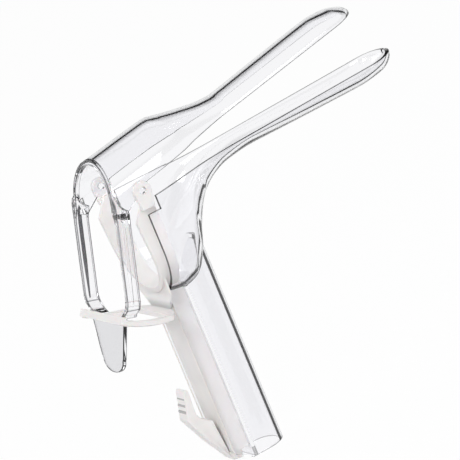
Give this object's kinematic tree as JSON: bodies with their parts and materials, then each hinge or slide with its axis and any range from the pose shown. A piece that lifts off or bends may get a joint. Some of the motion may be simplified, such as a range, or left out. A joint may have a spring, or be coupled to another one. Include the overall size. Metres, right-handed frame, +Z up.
{
  "type": "bivalve speculum",
  "caption": "Bivalve speculum of clear plastic with two rounded blades, a hollow handle, a thumb lever and a white sliding yoke with a ratchet shelf.",
  "frame": {"origin": "middle of the wall between the light socket and the yoke channel, at the handle's open bottom end", "axes": "+X across the instrument, +Y forward along the blades, +Z up along the handle"},
  "size_m": [0.043, 0.159, 0.145],
  "materials": {
    "clear_plastic": "clear, polished",
    "white_plastic": "satin"
  },
  "bodies": {
    "lower": {"lower_blade": "clear_plastic"},
    "yoke": {"yoke": "white_plastic"},
    "upper": {"upper_blade": "clear_plastic"},
    "latch": {"thumb_latch": "white_plastic"}
  },
  "joints": [
    {"name": "yoke_slide", "type": "slide", "parent": "lower", "child": "yoke", "axis": [0, 0, 1], "range_m": [0, 0.025]},
    {"name": "blade_hinge", "type": "hinge", "parent": "yoke", "child": "upper", "pos_m": [0, -0.0064, 0.1185], "axis": [1, 0, 0], "range_deg": [0, 17]},
    {"name": "latch_press", "type": "hinge", "parent": "yoke", "child": "latch", "pos_m": [0, -0.0071, 0.0052], "axis": [-1, 0, 0], "range_deg": [0, 4], "stiffness_Nm_per_rad": 0.4}
  ]
}
